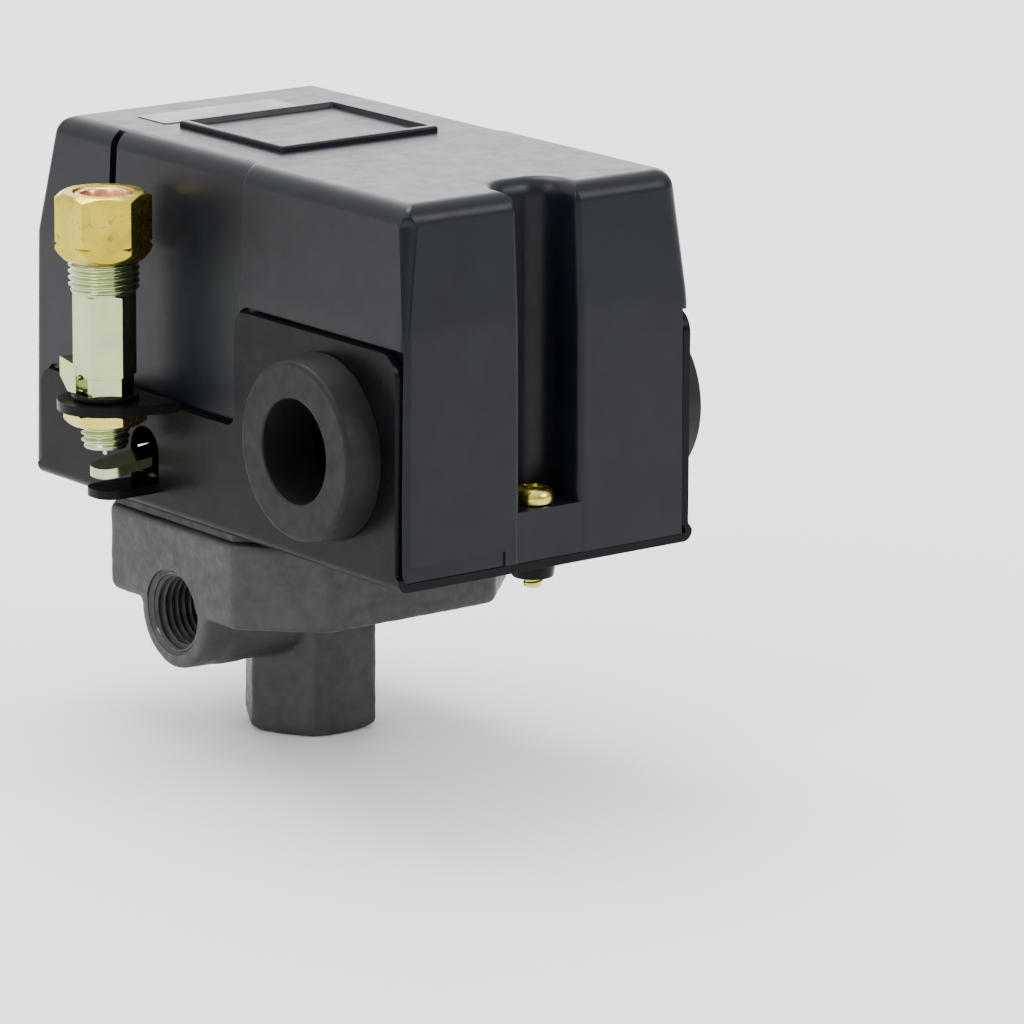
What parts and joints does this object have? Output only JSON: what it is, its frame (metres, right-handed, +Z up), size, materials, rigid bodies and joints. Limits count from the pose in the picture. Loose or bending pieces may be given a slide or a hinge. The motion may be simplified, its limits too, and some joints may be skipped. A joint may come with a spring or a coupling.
{
  "type": "pressure switch",
  "caption": "Air-compressor pressure switch: black cover on a folded steel base, cast manifold with threaded ports, cable grommets and a side unloader valve.",
  "frame": {"origin": "centre of the mouth of the bottom (tank) port", "axes": "+Z up along the bottom port's axis, out of the manifold into the switch; -Y towards the short cover face with the cover screw; -X towards the unloader valve and the side port"},
  "size_m": [0.0883, 0.115, 0.1112],
  "materials": {
    "cast_manifold": "as-cast zinc alloy, mottled dark grey",
    "black_steel": "satin black paint",
    "cover_plastic": "fine-grained satin black moulding",
    "grommet_rubber": "matte black",
    "diaphragm_rubber": "matte black sheet",
    "pale_zinc": "pale yellow-green zinc plate",
    "yellow_zinc": "yellow passivated zinc plate",
    "brass": "machined brass",
    "copper": "bright copper",
    "steel": "zinc-plated steel",
    "spring_steel": "drawn wire",
    "phenolic": "compression-moulded phenolic",
    "ivory_nylon": "natural nylon",
    "green_zinc": "green earth-screw finish",
    "grey_label": "semi-clear grey film, plain"
  },
  "bodies": {
    "housing": {"manifold": "cast_manifold", "diaphragm": "diaphragm_rubber", "base_frame": "black_steel", "flange_screw_1": "steel", "flange_screw_2": "steel", "flange_screw_3": "steel", "flange_screw_4": "steel", "ground_screw_1": "green_zinc", "ground_screw_2": "green_zinc", "grommet_left": "grommet_rubber", "grommet_right": "grommet_rubber", "contact_block": "phenolic", "block_screw_1": "steel", "block_screw_2": "steel", "terminal_1": "brass", "terminal_2": "brass", "terminal_3": "brass", "terminal_4": "brass", "terminal_screw_1": "steel", "terminal_screw_2": "steel", "terminal_screw_3": "steel", "terminal_screw_4": "steel", "lever_pivot_pin": "steel", "pivot_clip": "spring_steel", "range_stud": "steel", "range_spring": "spring_steel", "differential_stud": "steel", "differential_spring": "spring_steel", "unloader_body": "pale_zinc", "unloader_lock_plate": "black_steel", "unloader_jam_nut": "yellow_zinc", "unloader_nut": "brass", "unloader_ferrule": "copper", "unloader_spring": "spring_steel"},
    "main_lever": {"main_lever": "pale_zinc"},
    "plunger": {"plunger": "ivory_nylon"},
    "contact_carrier": {"contact_carrier": "ivory_nylon", "contact_bridge_1": "copper", "contact_bridge_2": "copper", "contact_spring_1": "spring_steel", "contact_spring_2": "spring_steel"},
    "unloader_pin": {"unloader_pin": "steel"},
    "range_seat": {"range_seat": "pale_zinc"},
    "range_nut": {"range_nut": "brass"},
    "differential_seat": {"differential_seat": "pale_zinc"},
    "differential_nut": {"differential_nut": "brass"},
    "cover": {"cover": "cover_plastic", "cover_screw": "yellow_zinc", "rating_sticker": "grey_label"}
  },
  "joints": [
    {"name": "lever_pivot", "type": "hinge", "parent": "housing", "child": "main_lever", "pos_m": [0.024, 0, 0.0551], "axis": [0, 1, 0], "range_deg": [0, 2], "stiffness_Nm_per_rad": 1},
    {"name": "plunger_lift", "type": "slide", "parent": "housing", "child": "plunger", "axis": [0, 0, 1], "range_m": [0, 0.00085]},
    {"name": "carrier_lift", "type": "slide", "parent": "housing", "child": "contact_carrier", "axis": [0, 0, 1], "range_m": [0, 0.002]},
    {"name": "unloader_pin_lift", "type": "slide", "parent": "housing", "child": "unloader_pin", "axis": [0, 0, 1], "range_m": [0, 0.00062], "deforming": ["unloader_spring"]},
    {"name": "range_adjust", "type": "slide", "parent": "housing", "child": "range_seat", "axis": [0, 0, -1], "range_m": [0, 0.004], "deforming": ["range_spring"]},
    {"name": "range_nut_turn", "type": "hinge", "parent": "range_seat", "child": "range_nut", "pos_m": [0.006, -0.019, 0.088], "axis": [0, 0, 1], "range_deg": [-1441, 0]},
    {"name": "differential_adjust", "type": "slide", "parent": "housing", "child": "differential_seat", "axis": [0, 0, -1], "range_m": [0, 0.003], "deforming": ["differential_spring"]},
    {"name": "differential_nut_turn", "type": "hinge", "parent": "differential_seat", "child": "differential_nut", "pos_m": [0.006, 0.0195, 0.08], "axis": [0, 0, 1], "range_deg": [-1351, 0]},
    {"name": "cover_lift", "type": "slide", "parent": "housing", "child": "cover", "axis": [0, 0, 1], "range_m": [0, 0.075]}
  ],
  "couplings": [
    {"joint": "plunger_lift", "follows": "lever_pivot", "m_per_rad": 0.024},
    {"joint": "carrier_lift", "follows": "lever_pivot", "m_per_rad": 0.057},
    {"joint": "unloader_pin_lift", "follows": "lever_pivot", "m_per_rad": 0.0172},
    {"joint": "range_nut_turn", "follows": "range_adjust", "rad_per_m": -6283.2},
    {"joint": "differential_nut_turn", "follows": "differential_adjust", "rad_per_m": -7854}
  ]
}
